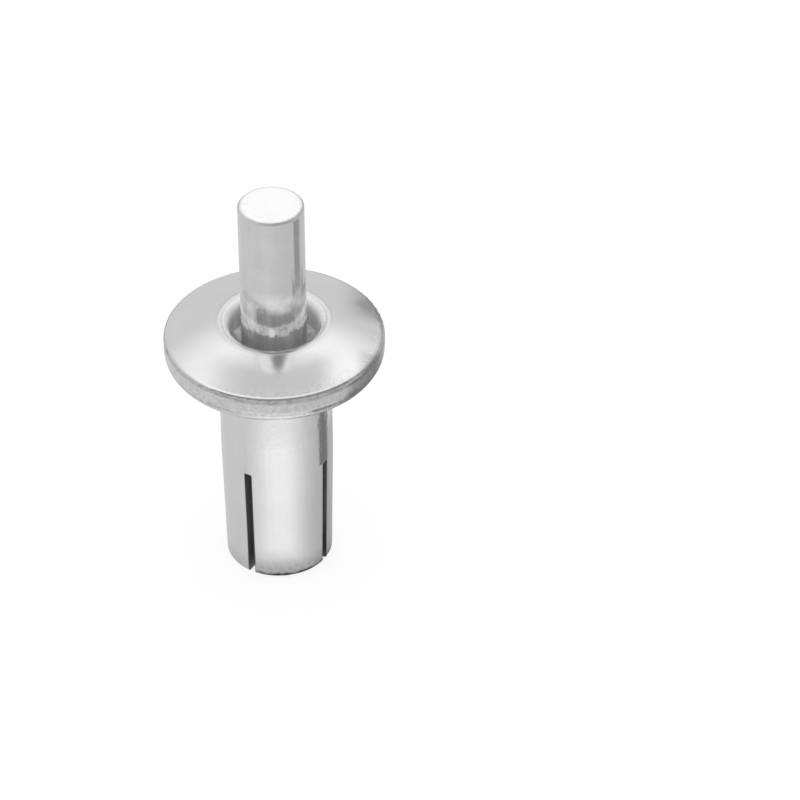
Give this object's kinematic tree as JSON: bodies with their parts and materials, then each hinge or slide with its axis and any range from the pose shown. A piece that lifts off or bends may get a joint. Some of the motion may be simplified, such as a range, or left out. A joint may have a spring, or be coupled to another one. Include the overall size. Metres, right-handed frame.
{
  "type": "drive rivet",
  "caption": "Hammer-drive rivet: low domed head on a hollow shank slotted into legs, with a plain pin pressed into its mouth that is driven flush to spread the legs.",
  "frame": {"origin": "centre of the shank's tip, on the rivet's axis and level with the ends of the legs, which is the point the rivet stands on", "axes": "+Z along the rivet's axis from the tip to the head and the pin; the slots lie on the planes of +X, -X, +Y and -Y"},
  "size_m": [0.0098, 0.0098, 0.019],
  "materials": {
    "body_aluminium": "cold-formed aluminium, polished on the dome, dull and grainy on the rim, satin on the shank",
    "pin_steel": "bright drawn steel wire with a cropped, lightly scratched end"
  },
  "bodies": {
    "root": {"rivet_body": "body_aluminium", "drive_pin": "pin_steel"}
  },
  "joints": []
}
